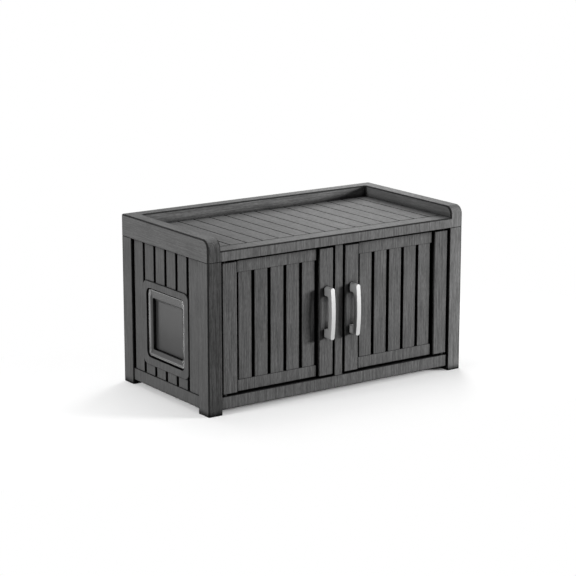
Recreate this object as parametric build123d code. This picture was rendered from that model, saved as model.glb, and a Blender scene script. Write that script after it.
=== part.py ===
from build123d import *
import os

# Litter box enclosure cabinet in moulded wood-grain resin.
# Millimetres. X runs to the right, Y to the back and Z up.
# The pieces are drawn about the middle of the carcass. The last step moves them so that the origin
# lies on the floor under the middle of the whole, handles included.

# Carcass
width = 950.0
depth = 492.0
post_height = 464.0
band_height = 32.0
rim_height = 36.0
rim_thickness = 46.0
rim_end_radius = 28.0
inner_corner_radius = 8.0
edge_radius = 5.0
small_radius = 2.0
lip_chamfer = 1.0
seam_chamfer = 1.0
fit = 0.3
snug = 0.03
overrun = 1.0

# Corner posts
post_width = 48.0
post_depth = 56.0
post_wall = 4.0
foot_wall = 5.0
cap_wall = 6.0
spigot = 20.0
spigot_length = 12.0

# Tray deck
deck_wall = 6.0
beam_depth = 30.0
deck_border = 56.0
deck_pitch = 57.2
deck_shift = -15.4
deck_groove = 4.5
deck_groove_depth = 3.0

# Plank walls
plank_recess = 6.5
groove_depth = 9.0
board_wall = 4.0
tongue = 8.0
panel_rise = 14.0
side_planks = 6
back_planks = 14
wall_groove = 11.0
wall_end_groove = 7.5
plank_radius = 2.0

# Bottom rails and floor
rail_bottom = 14.5
rail_height = 39.0
wall_rail_recess = 4.0
front_rail_recess = 6.0
front_rail_depth = 28.0
rail_tongue = 12.0
rail_tongue_root = 12.0
floor_height = 50.0
floor_wall = 5.0
ledge = 10.0

# Mullion between the doors
mullion_width = 30.0
mullion_recess = 7.0
flange_width = 70.0
flange_wall = 4.0
tenon_width = 20.0
tenon_depth = 10.0
tenon_length = 10.0

# Doors
door_recess = 6.0
door_thickness = 26.0
post_gap = 5.5
mullion_gap = 7.0
top_gap = 6.0
bottom_gap = 6.0
stile_width = 51.5
stile_radius = 3.5
door_rail_height = 36.0
door_rail_recess = 8.0
door_rail_gap = 5.0
door_plank_recess = 10.0
door_planks = 5
door_groove = 10.3
pivot_block = 40.0
screw_block = 30.0

# Door pivots
pivot_inset = 12.0
pivot_setback = 10.0
pivot_radius = 4.0
pivot_hold = 22.0
pivot_reach = 12.0
pivot_clearance = 0.08
collar_radius = 6.0

# Magnetic catches
catch_width = 10.0
catch_height = 30.0
catch_depth = 2.5
catch_drop = 60.0

# Pull handles
handle_length = 160.0
handle_spacing = 128.0
handle_width = 14.0
handle_projection = 39.0
handle_bow = 6.0
handle_bar = 16.0
handle_gap = 104.0
handle_tip_radius = 6.0
handle_tip_share = 0.45
handle_root_radius = 6.0
handle_edge_radius = 2.5
strip_thickness = 2.5
handle_screw_radius = 2.0
handle_screw_reach = 16.0
screw_head_radius = 3.8
screw_head_height = 2.4

# Cat entrance in the left wall
plate_width = 260.0
plate_height = 264.0
plate_bottom = 84.5
plate_recess = 3.5
plate_corner = 22.0
bezel_width = 211.0
bezel_height = 212.0
bezel_bottom = 112.0
bezel_corner = 16.0
bezel_gap = 3.5
bezel_sink = 3.5
bezel_body = 8.0
bezel_rim = 3.0
bezel_dish = 5.0
entrance_width = 170.0
entrance_height = 163.0
entrance_bottom = 134.0
entrance_corner = 4.0
sleeve_wall = 3.0
sleeve_depth = 30.0
ring_border = 12.0
ring_wall = 4.0
ring_screw_radius = 1.75
ring_screw_bite = 4.0
ring_screw_head = 3.4

# Flap
flap_thickness = 4.0
flap_gap = 1.5
flap_corner = 4.0
flap_axis_drop = 6.0
flap_axis_depth = 17.5
flap_barrel_radius = 4.5
flap_pin_radius = 2.0

# Levels and places that follow from the sizes above
half_width = width / 2
half_depth = depth / 2
deck_height = post_height + band_height
height = deck_height + rim_height
deck_half = half_width - rim_thickness
deck_back = half_depth - rim_thickness
skirt_wall = plank_recess - fit
side_span = depth - 2 * post_depth
front_span = width - 2 * post_width
wall_depth = groove_depth + board_wall
rail_top = rail_bottom + rail_height
rail_front = -half_depth + front_rail_recess
rail_back = rail_front + front_rail_depth
door_front = -half_depth + door_recess
door_back = door_front + door_thickness
door_inner = mullion_width / 2 + mullion_gap
door_outer = front_span / 2 - post_gap
door_bottom = rail_top + bottom_gap
door_top = post_height - top_gap
door_middle = (door_bottom + door_top) / 2
flange_front = door_back + fit
flange_back = flange_front + flange_wall
mullion_front = -half_depth + mullion_recess
tenon_y = (mullion_front + flange_front) / 2
pivot_x = door_outer - pivot_inset
pivot_y = door_front + pivot_setback
catch_x = (door_inner + flange_width / 2) / 2
catch_z = door_top - catch_drop
handle_x = door_inner + stile_width / 2
plate_front = plate_recess - plank_recess
bezel_front = plate_front + bezel_sink
seat_floor = bezel_front + bezel_body
bezel_middle = bezel_bottom + bezel_height / 2
entrance_middle = entrance_bottom + entrance_height / 2
entrance_top = entrance_bottom + entrance_height
flap_axis_z = entrance_top - flap_axis_drop
sleeve_width = entrance_width + 2 * sleeve_wall
sleeve_height = entrance_height + 2 * sleeve_wall
ring_screw_x = (sleeve_width + bezel_width) / 4
ring_screw_z = (sleeve_height + bezel_height) / 4


def block(x0, x1, y0, y1, z0, z1):
    """Box between two opposite corners."""
    return Pos((x0 + x1) / 2, (y0 + y1) / 2, (z0 + z1) / 2) * Box(x1 - x0, y1 - y0, z1 - z0)


def rod(radius, x, y, z0, z1):
    """Upright cylinder between two levels."""
    return Pos(x, y, (z0 + z1) / 2) * Cylinder(radius, z1 - z0)


def rod_y(radius, x, z, y0, y1):
    """Cylinder that runs front to back."""
    return Pos(x, (y0 + y1) / 2, z) * Rot(90, 0, 0) * Cylinder(radius, y1 - y0)


def slab_y(outline, y0, y1, z=0.0):
    """Outline in X and Z, extruded from front to back between two depths."""
    return Pos(0, y1, z) * extrude(Plane.XZ * outline, y1 - y0)


def edges_near(part, axis, test):
    """Straight edges along an axis whose middle passes a test."""
    return [edge for edge in part.edges().filter_by(axis) if test(edge.center())]


def same(a, b):
    return abs(a - b) < 0.01


# Top tray

def tray_rim():
    """Raised rim on three sides, with its front ends rounded down to the band."""
    rim = block(-half_width, half_width, -half_depth, half_depth, post_height, height)
    rim -= block(-deck_half, deck_half, -half_depth, deck_back, post_height, height)
    rim = fillet(edges_near(rim, Axis.Z, lambda c: same(c.Y, deck_back)), inner_corner_radius)
    rim = fillet(edges_near(rim, Axis.Z, lambda c: same(c.Y, half_depth)), edge_radius)
    end_radius = min(rim_end_radius, rim_height - edge_radius)
    ends = edges_near(rim, Axis.X, lambda c: same(c.Y, -half_depth) and same(c.Z, height))
    rim = fillet(ends, end_radius)
    top = [edge for edge in rim.edges() if same(edge.center().Z, height)]
    top = [edge for edge in top if edge.center().Y > -half_depth + end_radius + overrun]
    return fillet(top, edge_radius)


def deck_grooves():
    """Shallow lines between the planks of the deck, and the one behind the front border."""
    border = -half_depth + deck_border
    floor = deck_height - deck_groove_depth
    half = deck_groove / 2
    cuts = block(-deck_half, deck_half, border - half, border + half, floor, deck_height)
    reach = deck_half - 2 * deck_groove
    first = -int((reach + deck_shift) / deck_pitch)
    last = int((reach - deck_shift) / deck_pitch)
    for index in range(first, last + 1):
        x = deck_shift + index * deck_pitch
        cuts += block(x - half, x + half, border, deck_back, floor, deck_height)
    return cuts


def top_tray():
    """One moulded top: deck, rim, skirt and front beam, hollow from below."""
    inset = rim_thickness / 2
    deck_end = half_width - inset
    deck = block(-deck_end, deck_end, -half_depth, half_depth - inset, post_height, deck_height)
    nose = edges_near(deck, Axis.X, lambda c: same(c.Y, -half_depth) and same(c.Z, deck_height))
    deck = fillet(nose, edge_radius)
    tray = tray_rim() + deck
    tray = chamfer(tray.faces().sort_by(Axis.Z)[0].outer_wire().edges(), seam_chamfer)
    tray -= deck_grooves()

    skirt_x = half_width - skirt_wall
    skirt_y = half_depth - skirt_wall
    beam_back = -half_depth + beam_depth
    roof = deck_height - deck_wall
    rim_roof = height - skirt_wall
    cavity = block(-skirt_x, skirt_x, beam_back, skirt_y, post_height, roof)
    cavity += block(-skirt_x, skirt_x, deck_back + skirt_wall, skirt_y, post_height, rim_roof)
    for side in (-1, 1):
        inner = side * (deck_half + skirt_wall)
        x0, x1 = sorted((inner, side * skirt_x))
        cavity += block(x0, x1, beam_back, skirt_y, post_height, rim_roof)
    for side_x in (-1, 1):
        for side_y in (-1, 1):
            x0, x1 = sorted((side_x * half_width, side_x * (half_width - post_width)))
            y0, y1 = sorted((side_y * half_depth, side_y * (half_depth - post_depth)))
            cavity -= block(x0, x1, y0, y1, post_height, roof)
    tray -= cavity

    for side_x in (-1, 1):
        for side_y in (-1, 1):
            x = side_x * (half_width - post_width / 2)
            y = side_y * (half_depth - post_depth / 2)
            tray += block(
                x - spigot / 2, x + spigot / 2, y - spigot / 2, y + spigot / 2,
                post_height - spigot_length, post_height + overrun,
            )
    for side in (-1, 1):
        bore = pivot_radius + pivot_clearance
        tray -= rod(bore, side * pivot_x, pivot_y, post_height, post_height + pivot_reach + fit)
    tray -= tenon(post_height - fit, post_height + tenon_length + fit, fit)
    return tray


# Corner posts

def corner_post(rear):
    """Hollow post for the left corner, drawn at the front and mirrored for the others."""
    inner_x = -half_width + post_width
    inner_y = -half_depth + post_depth
    post = block(-half_width, inner_x, -half_depth, inner_y, 0, post_height)
    outer = edges_near(post, Axis.Z, lambda c: same(c.X, -half_width) and same(c.Y, -half_depth))
    post = fillet(outer, edge_radius)
    others = edges_near(post, Axis.Z, lambda c: same(c.X, inner_x) or same(c.Y, inner_y))
    post = fillet(others, small_radius)
    ends = post.faces().filter_by(Axis.Z).edges()
    post = chamfer(ends, seam_chamfer)
    post -= block(
        -half_width + post_wall, inner_x - post_wall,
        -half_depth + post_wall, inner_y - post_wall,
        foot_wall, post_height - cap_wall,
    )
    hole = spigot + 2 * fit
    middle = Pos(inner_x - post_width / 2, inner_y - post_depth / 2, post_height - cap_wall / 2)
    post -= middle * Box(hole, hole, 2 * cap_wall)

    slot_near = plank_recess + groove_depth - fit
    slot_far = plank_recess + wall_depth + fit
    reach = tongue + fit
    bottom = rail_top - board_wall - fit
    post -= block(
        -half_width + slot_near, -half_width + slot_far, inner_y - reach, inner_y, bottom, post_height
    )
    if rear:
        post -= block(
            inner_x - reach, inner_x, -half_depth + slot_near, -half_depth + slot_far, bottom, post_height
        )
    else:
        post -= rail_tongue_block(-1, fit)
    return post


# Plank walls

def plank_section(span, planks, groove, end_groove):
    """Section of a plank wall: X across the planks, Y into the cabinet, plank faces at zero."""
    plank = (span - 2 * end_groove - (planks - 1) * groove) / planks
    pitch = plank + groove
    section = Pos(0, groove_depth + board_wall / 2) * Rectangle(span + 2 * tongue, board_wall)
    for index in range(planks):
        x = (index - (planks - 1) / 2) * pitch
        face = Pos(x, wall_depth / 2) * Rectangle(plank, wall_depth)
        section += fillet(face.vertices().group_by(Axis.Y)[0], plank_radius)
        section -= Pos(x, board_wall + wall_depth / 2) * Rectangle(plank - 2 * board_wall, wall_depth)
    return section


def wall_rail(span):
    """Bottom rail of a plank wall, an open channel with the ledge that carries the floor."""
    front = wall_rail_recess - plank_recess
    deep = wall_depth - front
    ledge_top = floor_height - floor_wall
    shell = Pos(front + deep / 2, rail_bottom + rail_height / 2) * Rectangle(deep, rail_height)
    shell = fillet(shell.vertices().group_by(Axis.X)[0], small_radius)
    shell -= Pos(front + board_wall + deep / 2, rail_bottom + rail_height / 2) * Rectangle(
        deep, rail_height - 2 * board_wall
    )
    near = front + overrun
    far = wall_depth + ledge
    shell += Pos((near + far) / 2, ledge_top - board_wall / 2) * Rectangle(far - near, board_wall)
    return extrude(Plane.YZ * shell, span / 2 - fit, both=True)


def plank_wall(span, planks):
    """Panel that slides down between two posts, its face towards the front."""
    bottom = rail_top - board_wall
    top = post_height + panel_rise
    section = plank_section(span, planks, wall_groove, wall_end_groove)
    wall = Pos(0, 0, bottom) * extrude(section, top - bottom)
    for side in (-1, 1):
        x0, x1 = sorted((side * (span / 2 - fit), side * (span / 2 + tongue + overrun)))
        wall -= block(x0, x1, -plank_recess, wall_depth + overrun, post_height - fit, top + overrun)
    return wall + wall_rail(span)


def to_left(part):
    """Turn a front-facing wall piece into the left wall."""
    return Rot(0, 0, -90) * Pos(0, -half_width + plank_recess, 0) * part


def to_right(part):
    return Rot(0, 0, 90) * Pos(0, -half_width + plank_recess, 0) * part


def to_back(part):
    return Rot(0, 0, 180) * Pos(0, -half_depth + plank_recess, 0) * part


def entrance_wall():
    """Plank wall with the raised plate and the seat for the cat entrance."""
    wall = plank_wall(side_span, side_planks)
    plate = slab_y(
        RectangleRounded(plate_width, plate_height, plate_corner), plate_front, wall_depth,
        plate_bottom + plate_height / 2,
    )
    plate = fillet(plate.faces().sort_by(Axis.Y)[0].edges(), small_radius)
    wall += plate
    seat_width = bezel_width + 2 * bezel_gap
    seat_height = bezel_height + 2 * bezel_gap
    seat = RectangleRounded(seat_width, seat_height, bezel_corner + bezel_gap)
    wall -= slab_y(seat, plate_front - overrun, seat_floor, bezel_middle)
    hole = Rectangle(sleeve_width + 2 * fit, sleeve_height + 2 * fit)
    wall -= slab_y(hole, plate_front - overrun, wall_depth + overrun, entrance_middle)
    for x, z in ring_screw_places():
        wall -= rod_y(ring_screw_radius + fit, x, z, 0, wall_depth + overrun)
    return wall


# Cat entrance

def ring_screw_places():
    return [(x * ring_screw_x, entrance_middle + z * ring_screw_z) for x in (-1, 1) for z in (-1, 1)]


def cat_door_bezel():
    """Dished frame with a sleeve through the wall and bores for the flap pin."""
    outline = RectangleRounded(bezel_width, bezel_height, bezel_corner)
    bezel = slab_y(outline, bezel_front, seat_floor, bezel_middle)
    bezel = chamfer(bezel.faces().sort_by(Axis.Y)[0].edges(), lip_chamfer)
    sleeve = Rectangle(sleeve_width, sleeve_height)
    bezel += slab_y(sleeve, seat_floor - overrun, sleeve_depth, entrance_middle)
    dish_width = bezel_width - 2 * bezel_rim
    dish_height = bezel_height - 2 * bezel_rim
    wide = RectangleRounded(dish_width, dish_height, bezel_corner - bezel_rim)
    narrow = RectangleRounded(entrance_width, entrance_height, entrance_corner)
    dish = loft([
        Plane((0, bezel_front, bezel_middle), (1, 0, 0), (0, -1, 0)) * wide,
        Plane((0, bezel_front + bezel_dish, entrance_middle), (1, 0, 0), (0, -1, 0)) * narrow,
    ], ruled=True)
    bezel -= dish
    bezel -= slab_y(narrow, bezel_front, sleeve_depth + overrun, entrance_middle)
    bezel -= flap_rod(flap_pin_radius + snug, sleeve_width / 2 + overrun)
    for x, z in ring_screw_places():
        tip = seat_floor - ring_screw_bite - fit
        bezel -= rod_y(ring_screw_radius + snug, x, z, tip, seat_floor + overrun)
    return bezel


def flap_rod(radius, half_length):
    """Cylinder on the flap's hinge axis, in the frame of a front-facing wall."""
    return Pos(0, flap_axis_depth, flap_axis_z) * Rot(0, 90, 0) * Cylinder(radius, 2 * half_length)


def cat_door_inner_ring():
    """Ring that clamps the bezel from inside the cabinet."""
    ring_width = sleeve_width + 2 * ring_border
    ring_height = sleeve_height + 2 * ring_border
    outline = RectangleRounded(ring_width, ring_height, bezel_corner)
    back = wall_depth + ring_wall
    ring = slab_y(outline, wall_depth, back, entrance_middle)
    ring = chamfer(ring.faces().sort_by(Axis.Y)[-1].edges(), lip_chamfer)
    hole = Rectangle(sleeve_width + 2 * fit, sleeve_height + 2 * fit)
    ring -= slab_y(hole, wall_depth - overrun, back + overrun, entrance_middle)
    for x, z in ring_screw_places():
        ring -= rod_y(ring_screw_radius + fit, x, z, wall_depth - overrun, back + overrun)
    return ring


def cat_door_screws():
    """Four screws from inside, through ring and wall into the bezel."""
    screws = Part()
    head = wall_depth + ring_wall
    for x, z in ring_screw_places():
        screws += rod_y(ring_screw_radius, x, z, seat_floor - ring_screw_bite, head)
        screws += rod_y(ring_screw_head, x, z, head, head + screw_head_height)
    return screws


def cat_flap():
    """Smooth flap that hangs from its barrel and swings both ways."""
    bottom = entrance_bottom + flap_gap
    flap_width = entrance_width - 2 * flap_gap
    face = Pos(0, (bottom + flap_axis_z) / 2) * Rectangle(flap_width, flap_axis_z - bottom)
    face = fillet(face.vertices().group_by(Axis.Y)[0], flap_corner)
    flap = slab_y(face, flap_axis_depth - flap_thickness / 2, flap_axis_depth + flap_thickness / 2)
    flap += flap_rod(flap_barrel_radius, flap_width / 2)
    return flap - flap_rod(flap_pin_radius + pivot_clearance, flap_width)


# Front frame and floor

def tenon(z0, z1, room):
    """Tenon of the mullion, or its mortise with some room."""
    half_x = tenon_width / 2 + room
    half_y = tenon_depth / 2 + room
    return block(-half_x, half_x, tenon_y - half_y, tenon_y + half_y, z0, z1)


def rail_tongue_block(side, room):
    """End tongue of the front rail, or its mortise in a post with some room."""
    root = front_span / 2 - rail_tongue_root
    tip = front_span / 2 + rail_tongue + room
    x0, x1 = sorted((side * root, side * tip))
    inset = board_wall + fit - room
    return block(x0, x1, rail_front + inset, rail_back - inset, rail_bottom + inset, rail_top - inset)


def front_bottom_rail():
    """Channel under the doors, with bosses for the door pins and a mortise for the mullion."""
    half = front_span / 2
    rail = block(-half, half, rail_front, rail_back, rail_bottom, rail_top)
    rail = fillet(edges_near(rail, Axis.X, lambda c: same(c.Y, rail_front)), small_radius)
    rail -= block(
        -half, half, rail_front + board_wall, rail_back - board_wall, rail_bottom, rail_top - board_wall
    )
    ledge_top = floor_height - floor_wall
    rail += block(-half, half, rail_back - overrun, rail_back + ledge, ledge_top - board_wall, ledge_top)
    boss_floor = rail_top - pivot_reach - board_wall
    for side in (-1, 1):
        rail += rail_tongue_block(side, 0)
        boss = rod(pivot_radius + 2 * board_wall, side * pivot_x, pivot_y, boss_floor, rail_top - overrun)
        rail += boss & block(-half, half, rail_front + overrun, rail_back - overrun, 0, rail_top)
        bore = pivot_radius + pivot_clearance
        rail -= rod(bore, side * pivot_x, pivot_y, rail_top - pivot_reach, rail_top)
    rail += block(
        -tenon_width, tenon_width, rail_front + overrun, rail_back - overrun,
        rail_top - tenon_length - board_wall, rail_top - overrun,
    )
    return rail - tenon(rail_top - tenon_length - fit, rail_top + fit, fit)


def center_mullion():
    """T-shaped upright: its bar shows between the doors, its flange is their stop."""
    half = mullion_width / 2
    bar = block(-half, half, mullion_front, flange_back, rail_top, post_height)
    bar = fillet(edges_near(bar, Axis.Z, lambda c: same(c.Y, mullion_front)), small_radius)
    wing = flange_width / 2
    mullion = bar + block(-wing, wing, flange_front, flange_back, rail_top, post_height)
    mullion += tenon(rail_top - tenon_length, rail_top + overrun, 0)
    mullion += tenon(post_height - overrun, post_height + tenon_length, 0)
    for side in (-1, 1):
        mullion -= catch_block(side, flange_front, flange_front + catch_depth)
    return mullion


def catch_block(side, y0, y1):
    """Magnet or strike plate beside the mullion."""
    x = side * catch_x
    half_x = catch_width / 2
    half_z = catch_height / 2
    return block(x - half_x, x + half_x, y0, y1, catch_z - half_z, catch_z + half_z)


def floor_panel():
    """Floor that lies on the ledges of the four rails, notched round the posts."""
    half_x = half_width - plank_recess - wall_depth - fit
    back = half_depth - plank_recess - wall_depth - fit
    front = rail_back + fit
    level = floor_height - floor_wall
    floor = block(-half_x, half_x, front, back, level, floor_height)
    for side_x in (-1, 1):
        for side_y in (-1, 1):
            x0, x1 = sorted((side_x * half_width, side_x * (half_width - post_width - fit)))
            y0, y1 = sorted((side_y * half_depth, side_y * (half_depth - post_depth - fit)))
            floor -= block(x0, x1, y0, y1, level, floor_height)
    return floor


# Doors, drawn on the right and mirrored for the left

def door_stile(x0, x1):
    """Proud upright of the door, hollowed from behind between its solid blocks."""
    stile = block(x0, x1, door_front, door_back, door_bottom, door_top)
    stile = fillet(stile.faces().sort_by(Axis.Y)[0].edges(), stile_radius)
    half_screw = handle_spacing / 2
    stops = [
        door_bottom + pivot_block,
        door_middle - half_screw - screw_block / 2,
        door_middle - half_screw + screw_block / 2,
        door_middle + half_screw - screw_block / 2,
        door_middle + half_screw + screw_block / 2,
        door_top - pivot_block - catch_height,
    ]
    for low, high in zip(stops[::2], stops[1::2]):
        stile -= block(x0 + board_wall, x1 - board_wall, door_front + board_wall, door_back, low, high)
    return stile


def door_rail(z0, z1, x0, x1):
    """Cross rail of the door, set behind the face of the stiles."""
    face = door_front + door_rail_recess
    back = door_front + door_plank_recess + wall_depth
    rail = block(x0 + door_rail_gap, x1 - door_rail_gap, face, back, z0, z1)
    rail = fillet(rail.faces().sort_by(Axis.Y)[0].edges(), small_radius)
    pocket = door_rail_gap + board_wall
    rail -= block(x0 + pocket, x1 - pocket, face + board_wall, back, z0 + board_wall, z1 - board_wall)
    return rail


def door_field(x0, x1):
    """Five hollow planks on a thin web that spans the stiles."""
    middle = (x0 + x1) / 2
    section = plank_section(x1 - x0, door_planks, door_groove, door_groove)
    inside = Pos(0, wall_depth / 2) * Rectangle(x1 - x0 + 2 * overrun, 2 * wall_depth)
    field = extrude(section & inside, door_top - door_bottom - 2 * board_wall)
    return Pos(middle, door_front + door_plank_recess, door_bottom + board_wall) * field


def right_door():
    """Door leaf: two stiles, two rails and the plank field between them."""
    x0 = door_inner + stile_width
    x1 = door_outer - stile_width
    rails_top = door_top - door_rail_height
    rails_bottom = door_bottom + door_rail_height
    door = door_field(x0, x1)
    for z0, z1 in ((door_bottom, rails_bottom), (rails_top, door_top)):
        web = door_front + door_plank_recess + groove_depth
        door -= block(x0, x1, door_front, web, z0, z1)
        door += block(x0 - overrun, x1 + overrun, web, web + board_wall, z0, z1)
        door += door_rail(z0, z1, x0, x1)
    door += door_stile(door_inner, x0)
    door += door_stile(x1, door_outer)
    bore = pivot_radius + snug
    door -= rod(bore, pivot_x, pivot_y, door_top - pivot_hold - fit, door_top)
    door -= rod(bore, pivot_x, pivot_y, door_bottom, door_bottom + pivot_hold + fit)
    for z in handle_screw_levels():
        door -= rod_y(handle_screw_radius + fit, handle_x, z, door_front, door_back)
        door -= rod_y(screw_head_radius + fit, handle_x, z, door_back - screw_head_height - fit, door_back)
    return door - catch_block(1, door_back - catch_depth, door_back)


def upper_pin():
    return rod(pivot_radius, pivot_x, pivot_y, door_top - pivot_hold, post_height + pivot_reach)


def lower_pin():
    """Lower pivot with the collar that carries the door's weight."""
    pin = rod(pivot_radius, pivot_x, pivot_y, rail_top - pivot_reach + fit, door_bottom + pivot_hold)
    return pin + rod(collar_radius, pivot_x, pivot_y, rail_top + fit, door_bottom)


# Handles

def handle_screw_levels():
    return [door_middle - handle_spacing / 2, door_middle + handle_spacing / 2]


def bow_disc(outer):
    """Disc whose rim is the bowed face at a given projection, X towards the back and Y up."""
    half = handle_length / 2
    radius = (half ** 2 + handle_bow ** 2) / (2 * handle_bow) - (handle_projection - outer)
    return Pos(radius - outer, 0) * Circle(radius)


def reach(length):
    """Strip of the side view that runs from the door past the outer face of the pull."""
    return Pos(-handle_projection, 0) * Rectangle(2 * handle_projection, length)


def handle_outline():
    """Front view that rounds off the ends of the bar and its strip."""
    tip = min(handle_tip_radius, handle_tip_share * handle_width)
    outline = RectangleRounded(handle_width, handle_length, tip)
    return slab_y(outline, -2 * handle_projection, 0)


def handle_body():
    """Bow pull with two feet, its outer face a seat for the bright strip."""
    bar_outer = handle_projection - strip_thickness
    bar_inner = bar_outer - handle_bar
    gap = bow_disc(bar_inner) & reach(handle_gap)
    gap = fillet([v for v in gap.vertices() if v.X < -overrun], handle_root_radius)
    side = (bow_disc(bar_outer) & reach(handle_length + 2 * overrun)) - gap
    body = extrude(Plane.YZ * side, handle_width / 2, both=True) & handle_outline()
    inner = [e for e in body.edges() if same(abs(e.center().X), handle_width / 2)]
    inner = [e for e in inner if -bar_inner - overrun < e.center().Y < -overrun]
    inner = [e for e in inner if abs(e.center().Z) < handle_gap / 2 + overrun]
    body = fillet(inner, handle_edge_radius)
    for z in (-1, 1):
        body -= rod_y(handle_screw_radius + snug, 0, z * handle_spacing / 2, -handle_screw_reach - fit, 0)
    return body


def handle_strip():
    """Bright strip on the outer face of the pull."""
    band = bow_disc(handle_projection) - bow_disc(handle_projection - strip_thickness)
    band = band & reach(handle_length + 2 * overrun)
    strip = extrude(Plane.YZ * band, handle_width / 2, both=True)
    return strip & handle_outline()


def handle_screws():
    """Two screws that hold a pull from inside the door."""
    screws = Part()
    for z in handle_screw_levels():
        tip = door_front - handle_screw_reach
        screws += rod_y(handle_screw_radius, handle_x, z, tip, door_back - overrun)
        screws += rod_y(screw_head_radius, handle_x, z, door_back - screw_head_height, door_back)
    return screws


def on_door(part):
    return Pos(handle_x, door_front, door_middle) * part


# Assembly

def main():
    front_post = corner_post(False)
    rear_post = mirror(corner_post(True), Plane.XZ)
    door_set = {
        "door": right_door(),
        "door_upper_pin": upper_pin(),
        "door_lower_pin": lower_pin(),
        "handle": on_door(handle_body()),
        "handle_strip": on_door(handle_strip()),
        "handle_screws": handle_screws(),
        "door_catch": catch_block(1, flange_front, flange_front + catch_depth),
        "strike_plate": catch_block(1, door_back - catch_depth, door_back),
    }
    nodes = {
        "top_tray": top_tray(),
        "front_left_post": front_post,
        "front_right_post": mirror(front_post, Plane.YZ),
        "rear_left_post": rear_post,
        "rear_right_post": mirror(rear_post, Plane.YZ),
        "left_side_panel": to_left(entrance_wall()),
        "right_side_panel": to_right(plank_wall(side_span, side_planks)),
        "back_panel": to_back(plank_wall(front_span, back_planks)),
        "floor_panel": floor_panel(),
        "front_bottom_rail": front_bottom_rail(),
        "center_mullion": center_mullion(),
        "cat_door_bezel": to_left(cat_door_bezel()),
        "cat_door_inner_ring": to_left(cat_door_inner_ring()),
        "cat_door_screws": to_left(cat_door_screws()),
        "cat_flap": to_left(cat_flap()),
        "flap_hinge_pin": to_left(flap_rod(flap_pin_radius, sleeve_width / 2)),
    }
    for name, piece in door_set.items():
        nodes["right_" + name] = piece
        nodes["left_" + name] = mirror(piece, Plane.YZ)

    handle_overhang = handle_projection - door_recess
    os.makedirs("parts", exist_ok=True)
    for name, piece in nodes.items():
        export_step(Pos(0, handle_overhang / 2, 0) * piece, os.path.join("parts", name + ".step"))


main()
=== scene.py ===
import bpy
import math
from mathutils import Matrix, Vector


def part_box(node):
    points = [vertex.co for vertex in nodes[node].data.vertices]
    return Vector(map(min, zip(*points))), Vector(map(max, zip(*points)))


# Looks of a litter box enclosure cabinet in wood-grain resin. Metres, in the frame of the CAD model.

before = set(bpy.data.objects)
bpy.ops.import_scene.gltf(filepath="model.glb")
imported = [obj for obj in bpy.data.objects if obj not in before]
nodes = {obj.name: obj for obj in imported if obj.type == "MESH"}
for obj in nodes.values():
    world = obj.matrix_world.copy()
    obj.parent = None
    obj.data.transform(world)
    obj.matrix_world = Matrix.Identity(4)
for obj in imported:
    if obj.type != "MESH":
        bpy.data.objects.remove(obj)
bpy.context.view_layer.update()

# View of the photograph: the camera's place, its angles in degrees, and its lens and sensor in millimetres
camera_place = (-3.4563, -4.9284, 1.7162)
camera_pitch = 13.3857
camera_yaw = 34.7812
camera_lens = 123.59
camera_sensor = 36.0

# Resin with an embossed wood grain: linear greys, and the size and relief of the grain
resin_grey = 0.085
# The tray's grey is painted light: a paler copy of the resin, so that the tray looks more brightly lit
tray_lit_grey = 0.1
# Small roundings get painted shade: a grey far darker than the resin's draws them as dark lines
edge_shade_grey = 0.02
resin_shine = 0.03
streak_width = 0.0034
streak_length = 0.09
streak_waver = 0.15
pore_width = 0.0024
pore_length = 0.014
mottle_size = 0.09
grain_relief = 0.0009
edge_relief = 0.0001

# Strength of the grain's tones on faces that don't look to the front, and the streaks' share of its height
side_grain = 0.5
streak_share = 0.65

# Fine texture of the plain plastics and metals, and the share of broad mottling in their tone
grit_size = 0.002
grit_detail = 3.0
grit_relief = 0.00002
broad_share = 0.5

# Pairs of a noise value and the tone, roughness or roughness factor that it gives
streak_tones = ((0.34, 0.74), (0.5, 1.0), (0.66, 1.26))
pore_tones = ((0.35, 0.82), (0.65, 1.16))
pore_roughness = ((0.3, 0.7), (0.7, 0.55))
mottle_tones = ((0.3, 0.94), (0.7, 1.06))
grit_tones = ((0.3, 0.93), (0.7, 1.07))
grit_roughness = ((0.3, 1.1), (0.7, 0.9))

# Crown across the members of the cat entrance's frame, and the top of the parabola d * (1 - d) that shapes it
crown_width = 0.0205
crown_height = 0.003
parabola_top = 0.25

# Painted shade in gaps, grooves and creases: how far a wall darkens its neighbours' colour, the openness at
# which a face is painted black or left clear, and a lower openness for the tray's black, so its painted shade
# is paler
hollow_reach = 0.025
hollow_samples = 8
hollow_black = 0.6
hollow_clear = 0.92
tray_shade_black = 0.35

# A face looks along an axis where its normal has more than this share along it
facing_limit = 0.7

# Front faces of the cabinet's two ends, shaded as if they leaned outwards: where they start, and their lean
end_margin = 0.0005
end_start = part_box("front_right_post")[0][0] - end_margin
end_lean = 0.36

# A facet of a small rounding leans from every axis and is narrow
lean_limit = 0.985
rounding_facet = 0.0025


def new_material(name):
    """New node material; returns it with its node tree and its Principled shader."""
    material = bpy.data.materials.new(name)
    material.use_nodes = True
    tree = material.node_tree
    return material, tree, tree.nodes["Principled BSDF"]


def add(tree, kind, inputs=None, **settings):
    """New node with its settings, and its sockets from `inputs`: a socket is linked, a value is set."""
    node = tree.nodes.new(kind)
    for name, value in settings.items():
        setattr(node, name, value)
    for name, value in (inputs or {}).items():
        if isinstance(value, bpy.types.NodeSocket):
            tree.links.new(value, node.inputs[name])
        else:
            node.inputs[name].default_value = value
    return node


def calc(tree, operation, a, b=0.0):
    """Math node on two sockets or numbers; returns its output."""
    return add(tree, "ShaderNodeMath", {0: a, 1: b}, operation=operation).outputs[0]


def blend(tree, a, b, share):
    """One value that goes from a to b as the share goes from 0 to 1."""
    return calc(tree, "ADD", a, calc(tree, "MULTIPLY", calc(tree, "SUBTRACT", b, a), share))


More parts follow.
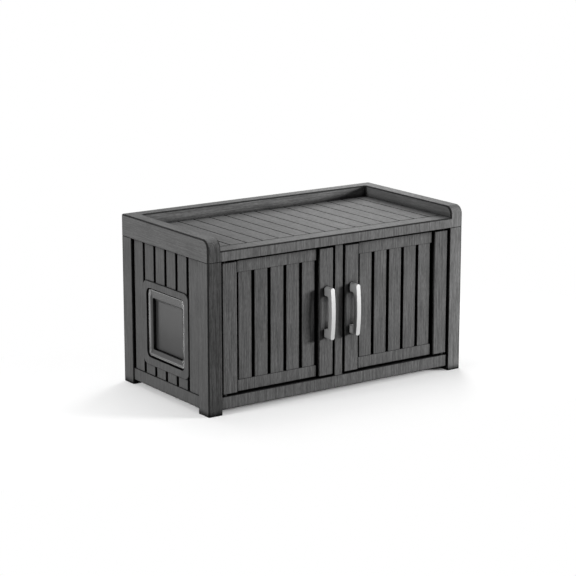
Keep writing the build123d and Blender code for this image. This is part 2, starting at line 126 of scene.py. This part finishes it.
def ramp(tree, factor, stops):
    """Colour ramp from pairs of a place and a grey, in order; returns its colour output."""
    node = add(tree, "ShaderNodeValToRGB", {"Fac": factor})
    elements = node.color_ramp.elements
    for place, _ in stops[1:-1]:
        elements.new(place)
    for element, (place, grey) in zip(elements, stops):
        element.position = place
        element.color = (grey, grey, grey, 1)
    return node.outputs["Color"]


def noise(tree, vector, scale=1.0, detail=2.0, distortion=0.0):
    """Noise texture; returns its value."""
    sockets = {"Vector": vector, "Scale": scale, "Detail": detail, "Distortion": distortion}
    return add(tree, "ShaderNodeTexNoise", sockets).outputs["Fac"]


def coordinates(tree, kind):
    """Places on the surface in metres, for the kind Object, or its directions, for the kind Normal."""
    return add(tree, "ShaderNodeTexCoord").outputs[kind]


def split(tree, vector):
    """The x, y and z of a vector."""
    return add(tree, "ShaderNodeSeparateXYZ", {0: vector}).outputs


def paint(tree, shader, grey):
    """Give a shader a grey base colour from a socket."""
    colour = add(tree, "ShaderNodeCombineColor", {n: grey for n in range(3)}).outputs[0]
    tree.links.new(colour, shader.inputs["Base Color"])


def bump(tree, shader, height, distance, base=None):
    """Relief on a shader from a height of 0 to 1, on the face's own normal or on the one in `base`."""
    sockets = {"Height": height, "Distance": distance}
    if base:
        sockets["Normal"] = base
    normal = add(tree, "ShaderNodeBump", sockets).outputs["Normal"]
    tree.links.new(normal, shader.inputs["Normal"])


def seen_rays(tree):
    """1 for rays that show a surface, straight, mirrored or through glass, and 0 for other light."""
    path = add(tree, "ShaderNodeLightPath").outputs
    seen = calc(tree, "MAXIMUM", path["Is Camera Ray"], path["Is Glossy Ray"])
    return calc(tree, "MAXIMUM", seen, path["Is Transmission Ray"])


def facing_front(tree):
    """1 on faces that look to the front, and 0 on all others."""
    _, to_y, _ = split(tree, coordinates(tree, "Normal"))
    return calc(tree, "LESS_THAN", to_y, -facing_limit)


def grain_frame(tree, tray=False):
    """Places across and along the grain, which stands upright on walls and runs back on level faces.

    On a tray it also runs back on the sides, and sideways on the inside of the back rim.
    """
    x, y, z = split(tree, coordinates(tree, "Object"))
    to_x, _, to_z = split(tree, coordinates(tree, "Normal"))
    runs_back = calc(tree, "GREATER_THAN", calc(tree, "ABSOLUTE", to_z), facing_limit)
    if tray:
        sides = calc(tree, "GREATER_THAN", calc(tree, "ABSOLUTE", to_x), facing_limit)
        runs_back = calc(tree, "MAXIMUM", runs_back, sides)
    across = blend(tree, y, z, runs_back)
    along = blend(tree, z, y, runs_back)
    if tray:
        inside = calc(tree, "MULTIPLY", facing_front(tree), calc(tree, "GREATER_THAN", y, 0.0))
        x, along = blend(tree, x, along, inside), blend(tree, along, x, inside)
    return x, across, along


def stretched(tree, grain, width, length):
    """Texture vector whose unit is one streak of that width and length."""
    x, across, along = grain
    sockets = {
        0: calc(tree, "DIVIDE", x, width),
        1: calc(tree, "DIVIDE", across, width),
        2: calc(tree, "DIVIDE", along, length),
    }
    return add(tree, "ShaderNodeCombineXYZ", sockets).outputs[0]


def leaning(tree):
    """Normals of the cabinet, with the front faces of its two ends turned outwards."""
    x, _, _ = split(tree, coordinates(tree, "Object"))
    end = calc(tree, "GREATER_THAN", calc(tree, "ABSOLUTE", x), end_start)
    lean = calc(tree, "MULTIPLY", calc(tree, "MULTIPLY", facing_front(tree), end), end_lean)
    sideways = calc(tree, "MULTIPLY", calc(tree, "SIGN", x), lean)
    turn = add(tree, "ShaderNodeCombineXYZ", {0: sideways}).outputs[0]
    sockets = {0: coordinates(tree, "Normal"), 1: turn}
    total = add(tree, "ShaderNodeVectorMath", sockets, operation="ADD").outputs[0]
    return add(tree, "ShaderNodeVectorMath", {0: total}, operation="NORMALIZE").outputs[0]


def hollow_shade(tree, black=hollow_black):
    """Painted shade of gaps, grooves and creases for the base colour, from 0 deep in a groove to 1 on open
    faces.
    """
    node = add(tree, "ShaderNodeAmbientOcclusion", {"Distance": hollow_reach}, samples=hollow_samples)
    return ramp(tree, node.outputs["AO"], ((black, 0.0), (hollow_clear, 1.0)))


def crowned(tree, name):
    """Normals of a frame on the left wall, as if its sides and its sill were crowned across their width."""
    low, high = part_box(name)
    _, y, z = split(tree, coordinates(tree, "Object"))
    from_sides = calc(tree, "MINIMUM", calc(tree, "SUBTRACT", y, low[1]), calc(tree, "SUBTRACT", high[1], y))
    from_edge = calc(tree, "MINIMUM", from_sides, calc(tree, "SUBTRACT", z, low[2]))
    depth = calc(tree, "DIVIDE", from_edge, crown_width)
    height = calc(tree, "MULTIPLY", depth, calc(tree, "SUBTRACT", 1.0, depth))
    rise = calc(tree, "DIVIDE", calc(tree, "MAXIMUM", height, 0.0), parabola_top)
    return add(tree, "ShaderNodeBump", {"Height": rise, "Distance": crown_height}).outputs["Normal"]


def grained_resin(name, grey, relief, ends=False, tray=False):
    """Moulded resin with an embossed wood grain, and painted shade that darkens its colour in gaps, grooves
    and creases.

    `ends` shades the cabinet's ends as leaning. `tray` is for the tray, with its own grain and a paler
    painted shade in its creases.
    """
    material, tree, shader = new_material(name)
    grain = grain_frame(tree, tray)
    streaks = noise(tree, stretched(tree, grain, streak_width, streak_length), distortion=streak_waver)
    pores = noise(tree, stretched(tree, grain, pore_width, pore_length))
    mottle = noise(tree, coordinates(tree, "Object"), 1.0 / mottle_size)
    tone = calc(tree, "MULTIPLY", ramp(tree, streaks, streak_tones), ramp(tree, pores, pore_tones))
    tone = blend(tree, 1.0, tone, blend(tree, side_grain, 1.0, facing_front(tree)))
    tone = calc(tree, "MULTIPLY", tone, ramp(tree, mottle, mottle_tones))
    # Painted shade: the colour darkens in gaps, grooves and creases, where shade falls
    tone = calc(tree, "MULTIPLY", tone, hollow_shade(tree, tray_shade_black if tray else hollow_black))
    paint(tree, shader, calc(tree, "MULTIPLY", tone, grey))
    tree.links.new(ramp(tree, pores, pore_roughness), shader.inputs["Roughness"])
    height = blend(tree, pores, streaks, streak_share)
    bump(tree, shader, height, relief, leaning(tree) if ends else None)
    shader.inputs["Specular IOR Level"].default_value = resin_shine
    return material


def moulded(name, grey, roughness, metallic=0.0, shine=0.5, shade_recesses=False, crown=None):
    """Smooth plastic or metal with a fine moulded texture, and where asked a painted shade that darkens its
    colour in gaps and recesses.

    `crown` names the node whose sides and sill are shaded as crowned.
    """
    material, tree, shader = new_material(name)
    place = coordinates(tree, "Object")
    fine = noise(tree, place, 1.0 / grit_size, grit_detail)
    broad = noise(tree, place, 1.0 / mottle_size)
    tone = ramp(tree, blend(tree, fine, broad, broad_share), grit_tones)
    # Painted shade in gaps and recesses, where asked
    if shade_recesses:
        tone = calc(tree, "MULTIPLY", tone, hollow_shade(tree))
    paint(tree, shader, calc(tree, "MULTIPLY", tone, grey))
    stops = [(value, roughness * factor) for value, factor in grit_roughness]
    tree.links.new(ramp(tree, fine, stops), shader.inputs["Roughness"])
    shader.inputs["Metallic"].default_value = metallic
    shader.inputs["Specular IOR Level"].default_value = shine
    bump(tree, shader, fine, grit_relief, crowned(tree, crown) if crown else None)
    return material


def dress(mesh, materials):
    """Give a mesh these materials in place of its own."""
    mesh.materials.clear()
    for material in materials:
        mesh.materials.append(material)


def on_rounding(mesh, polygon):
    """True on the narrow facets of a small rounding, and not on flat faces or wide curves."""
    if max(abs(value) for value in polygon.normal) > lean_limit:
        return False
    corners = [mesh.vertices[index].co for index in polygon.vertices]
    longest = max((a - b).length for a, b in zip(corners, corners[1:] + corners[:1]))
    # A facet is a triangle, so its width is twice its area over its longest side
    return 2 * polygon.area < rounding_facet * longest


# Finishes by the record's material slots
resin = grained_resin("grained_resin", resin_grey, grain_relief)
post_resin = grained_resin("post_resin", resin_grey, grain_relief, ends=True)
# The tray: painted light in its paler grey, and a paler painted shade in its creases
tray_resin = grained_resin("tray_resin", tray_lit_grey, grain_relief, ends=True, tray=True)
# Painted shade on small roundings: a darker copy of the resin, with less relief
edge_shade_resin = grained_resin("edge_shade_resin", edge_shade_grey, edge_relief)
plain_looks = {
    # The entrance's frame gets painted shade in its gaps and recesses
    "bezel_plastic": dict(grey=0.034, roughness=0.2, shine=0.38, shade_recesses=True, crown="cat_door_bezel"),
    "flap_plastic": dict(grey=0.024, roughness=0.3, shine=0.12),
    "handle_plastic": dict(grey=0.33, roughness=0.42),
    "bright_strip": dict(grey=0.43, roughness=0.55, metallic=0.15),
    "steel": dict(grey=0.55, roughness=0.3, metallic=1.0),
    "dark_steel": dict(grey=0.012, roughness=0.6, shine=0.1),
    "magnet": dict(grey=0.05, roughness=0.5),
}
finishes = {slot_name: (moulded(slot_name, **looks),) for slot_name, looks in plain_looks.items()}
finishes["grained_resin"] = (resin, edge_shade_resin)

# Resin pieces whose main material is another one, and those whose roundings get no painted shade
main_resins = {"front_left_post": post_resin, "front_right_post": post_resin, "top_tray": tray_resin}
no_edge_shade = ("left_door", "right_door")
for node_name, node in nodes.items():
    mesh = node.data
    slot_name = mesh.materials[0].name.split(".")[0]
    dress(mesh, finishes[slot_name])
    if slot_name == "grained_resin":
        mesh.materials[0] = main_resins.get(node_name, resin)
        paint_edge_shade = node_name not in no_edge_shade
        for polygon in mesh.polygons:
            # Narrow facets of small roundings take the painted edge shade
            polygon.material_index = int(paint_edge_shade and on_rounding(mesh, polygon))


# Stage: a floor that shows the cabinet's shadow and turns to plain white away from it. It throws back less
# light than it shows, so that the cabinet stays dark near it.
floor_size = 30.0
floor_drop = 0.0005
floor_grey = 0.9
floor_roughness = 0.9
bounce_grey = 0.2

# The white sets in a little inside the feet, and its share grows fast at first and then slowly. To the sides
# all its reaches are longer.
contact_inset = 0.04
contact_reach = 0.03
contact_white = 0.3
open_reach = 0.19
open_white = 0.4
shadow_reach = 0.5
side_stretch = 2.0


def beyond(tree, value, low, high):
    """How far a place lies outside of a span, and 0 inside it."""
    offset = calc(tree, "ABSOLUTE", calc(tree, "SUBTRACT", value, (low + high) / 2))
    return calc(tree, "MAXIMUM", calc(tree, "SUBTRACT", offset, (high - low) / 2), 0.0)


def from_feet(tree):
    """Distance of a place on the floor from the cabinet's feet, counted shorter to the sides."""
    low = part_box("front_left_post")[0]
    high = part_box("rear_right_post")[1]
    x, y, _ = split(tree, coordinates(tree, "Object"))
    to_side = beyond(tree, x, low[0] + contact_inset, high[0] - contact_inset)
    to_front = beyond(tree, y, low[1] + contact_inset, high[1] - contact_inset)
    to_side = calc(tree, "DIVIDE", to_side, side_stretch)
    squares = [calc(tree, "POWER", value, 2.0) for value in (to_side, to_front)]
    return calc(tree, "SQRT", calc(tree, "ADD", *squares))


def white_floor():
    """Floor material: a matt white that turns to plain white light away from the cabinet."""
    material, tree, shader = new_material("floor")
    shader.inputs["Roughness"].default_value = floor_roughness
    diffuse_ray = add(tree, "ShaderNodeLightPath").outputs["Is Diffuse Ray"]
    paint(tree, shader, blend(tree, floor_grey, bounce_grey, diffuse_ray))
    whites = ((0.0, 0.0), (contact_reach, contact_white), (open_reach, open_white), (shadow_reach, 1.0))
    stops = [(reach / shadow_reach, white) for reach, white in whites]
    away = ramp(tree, calc(tree, "DIVIDE", from_feet(tree), shadow_reach), stops)
    share = calc(tree, "MULTIPLY", seen_rays(tree), away)
    glow = add(tree, "ShaderNodeEmission", {"Color": (1, 1, 1, 1), "Strength": 1.0}).outputs[0]
    mixed = add(tree, "ShaderNodeMixShader", {0: share, 1: shader.outputs[0], 2: glow}).outputs[0]
    tree.links.new(mixed, tree.nodes["Material Output"].inputs["Surface"])
    return material


bpy.ops.mesh.primitive_plane_add(size=floor_size, location=(0, 0, -floor_drop))
floor = bpy.context.object
floor.name = "floor"
floor.data.materials.append(white_floor())


def area_light(name, place, target, width, height, power):
    """Soft light of that width and height at a place, aimed at a target."""
    lamp = bpy.data.lights.new(name, "AREA")
    lamp.shape = "RECTANGLE"
    lamp.size = width
    lamp.size_y = height
    lamp.energy = power
    holder = bpy.data.objects.new(name, lamp)
    bpy.context.scene.collection.objects.link(holder)
    holder.location = place
    direction = Vector(target) - Vector(place)
    holder.rotation_euler = direction.to_track_quat("-Z", "Y").to_euler()
    return holder


area_light("key", place=(3.95, -3.26, 1.15), target=(0.25, -0.2, 0.3), width=1.7, height=0.8, power=455.0)
area_light("left_fill", place=(-3.0, -0.2, 1.35), target=(-0.2, 0, 0.3), width=0.7, height=0.7, power=82.0)
area_light("back_fill", place=(1.2, 1.2, 1.3), target=(0.3, 0, 0.5), width=0.7, height=0.7, power=21.0)
area_light("top", place=(0, 0.9, 3.0), target=(0, 0, 0.3), width=2.0, height=2.0, power=45.0)

# Pale cards on the floor, which show only in gloss, such as that of the cat entrance's frame: their x, y,
# width, length and radiance. They face up, and a flat light's power is its radiance times pi times its area.
cards = {
    "front_card": (-0.52, 0.85, 0.08, 0.75, 6.0),
    "sill_card": (-0.58, 0.22, 0.16, 0.36, 1.7),
    "rear_card": (-1.2, 0.8, 0.7, 1.0, 3.3),
}
for card_name, (x, y, width, length, radiance) in cards.items():
    place = Vector((x, y, floor_drop))
    above = place + Vector((0, 0, 1))
    card = area_light(card_name, place, above, width, length, radiance * math.pi * width * length)
    card.visible_camera = False
    card.visible_diffuse = False

# Surroundings: white where they are seen or mirrored, and dim as light
ambient = 0.02
world = bpy.data.worlds.new("studio")
bpy.context.scene.world = world
world.use_nodes = True
sky = world.node_tree
background = sky.nodes["Background"]
background.inputs["Color"].default_value = (1, 1, 1, 1)
sky.links.new(blend(sky, ambient, 1.0, seen_rays(sky)), background.inputs["Strength"])

camera_data = bpy.data.cameras.new("camera")
camera_data.sensor_width = camera_sensor
camera_data.lens = camera_lens
camera = bpy.data.objects.new("camera", camera_data)
camera.location = camera_place
camera.rotation_euler = (math.radians(90 - camera_pitch), 0, -math.radians(camera_yaw))
bpy.context.scene.collection.objects.link(camera)
bpy.context.scene.camera = camera
bpy.context.scene.view_settings.view_transform = "Standard"
